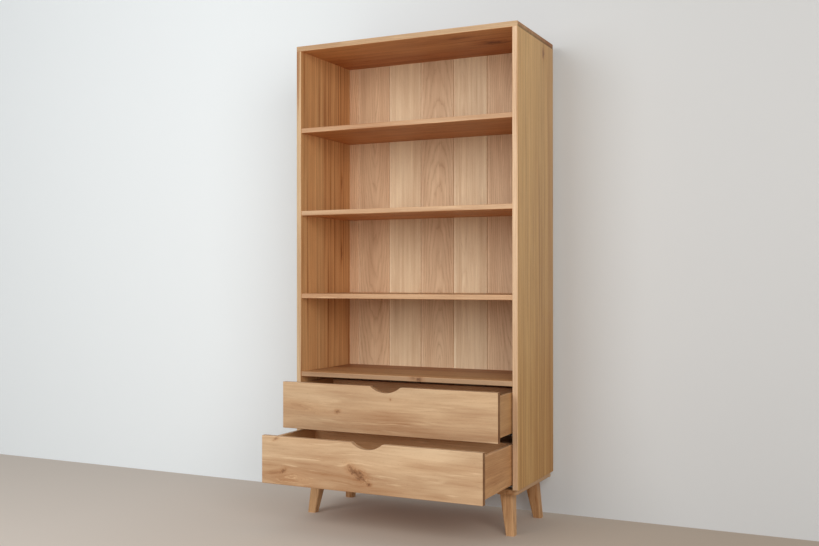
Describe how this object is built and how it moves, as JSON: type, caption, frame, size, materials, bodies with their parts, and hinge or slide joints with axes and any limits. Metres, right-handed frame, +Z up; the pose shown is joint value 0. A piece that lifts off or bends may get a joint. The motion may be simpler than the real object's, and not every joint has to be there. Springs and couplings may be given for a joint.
{
  "type": "bookcase with bottom drawers",
  "caption": "Tall oak bookcase with open shelves over two inset drawers with scooped finger pulls on concealed runners, on a base with splayed tapered legs.",
  "frame": {"origin": "on the floor, under the middle of the overall box, which takes in the drawers as they stand open", "axes": "+X across the width to the right as seen from the front, +Y from the front to the back, +Z up"},
  "size_m": [0.9, 0.67, 1.8],
  "materials": {
    "side_oak": "oiled solid oak, edge-glued vertical staves",
    "top_oak": "oiled solid oak, grain along the width",
    "shelf_oak": "oiled solid oak, grain along the width",
    "back_oak": "oiled oak boards, grain upright",
    "base_oak": "oiled solid oak",
    "leg_oak": "oiled solid oak, grain along the leg",
    "front_oak": "oiled solid oak with knots, grain along the width",
    "box_oak": "sealed solid oak",
    "beech": "plain beech",
    "runner_steel": "zinc plated, satin",
    "screw_steel": "zinc plated",
    "glide_plastic": "natural white acetal"
  },
  "bodies": {
    "carcass": {"back_board_1": "back_oak", "back_board_2": "back_oak", "back_board_3": "back_oak", "back_board_4": "back_oak", "back_board_5": "back_oak", "back_board_6": "back_oak", "back_board_7": "back_oak", "back_screws": "screw_steel", "base_rail_left": "base_oak", "base_rail_right": "base_oak", "bottom_panel": "shelf_oak", "carcass_dowels": "beech", "drawer_deck": "shelf_oak", "left_side": "side_oak", "leg_bolts": "screw_steel", "leg_front_left": "leg_oak", "leg_front_right": "leg_oak", "leg_rear_left": "leg_oak", "leg_rear_right": "leg_oak", "lower_runner_left_fixed": "runner_steel", "lower_runner_right_fixed": "runner_steel", "lower_runner_screws": "screw_steel", "right_side": "side_oak", "shelf_lower": "shelf_oak", "shelf_middle": "shelf_oak", "shelf_upper": "shelf_oak", "top_panel": "top_oak", "upper_runner_left_fixed": "runner_steel", "upper_runner_right_fixed": "runner_steel", "upper_runner_screws": "screw_steel"},
    "upper_drawer": {"upper_drawer_back": "box_oak", "upper_drawer_bottom": "box_oak", "upper_drawer_dowels": "beech", "upper_drawer_front": "front_oak", "upper_drawer_left_side": "box_oak", "upper_drawer_right_side": "box_oak", "upper_drawer_screws": "screw_steel", "upper_runner_left_drawer": "runner_steel", "upper_runner_right_drawer": "runner_steel"},
    "runner_middle_upper": {"upper_runner_glides": "glide_plastic", "upper_runner_left_middle": "runner_steel", "upper_runner_right_middle": "runner_steel"},
    "lower_drawer": {"lower_drawer_back": "box_oak", "lower_drawer_bottom": "box_oak", "lower_drawer_dowels": "beech", "lower_drawer_front": "front_oak", "lower_drawer_left_side": "box_oak", "lower_drawer_right_side": "box_oak", "lower_drawer_screws": "screw_steel", "lower_runner_left_drawer": "runner_steel", "lower_runner_right_drawer": "runner_steel"},
    "runner_middle_lower": {"lower_runner_glides": "glide_plastic", "lower_runner_left_middle": "runner_steel", "lower_runner_right_middle": "runner_steel"}
  },
  "joints": [
    {"name": "upper_drawer_slide", "type": "slide", "parent": "carcass", "child": "upper_drawer", "axis": [0, -1, 0], "range_m": [-0.135, 0.215]},
    {"name": "upper_runner_slide", "type": "slide", "parent": "carcass", "child": "runner_middle_upper", "axis": [0, -1, 0], "range_m": [-0.0675, 0.1075]},
    {"name": "lower_drawer_slide", "type": "slide", "parent": "carcass", "child": "lower_drawer", "axis": [0, -1, 0], "range_m": [-0.273, 0.077]},
    {"name": "lower_runner_slide", "type": "slide", "parent": "carcass", "child": "runner_middle_lower", "axis": [0, -1, 0], "range_m": [-0.1365, 0.0385]}
  ],
  "couplings": [
    {"joint": "upper_runner_slide", "follows": "upper_drawer_slide", "ratio": 0.5},
    {"joint": "lower_runner_slide", "follows": "lower_drawer_slide", "ratio": 0.5}
  ]
}
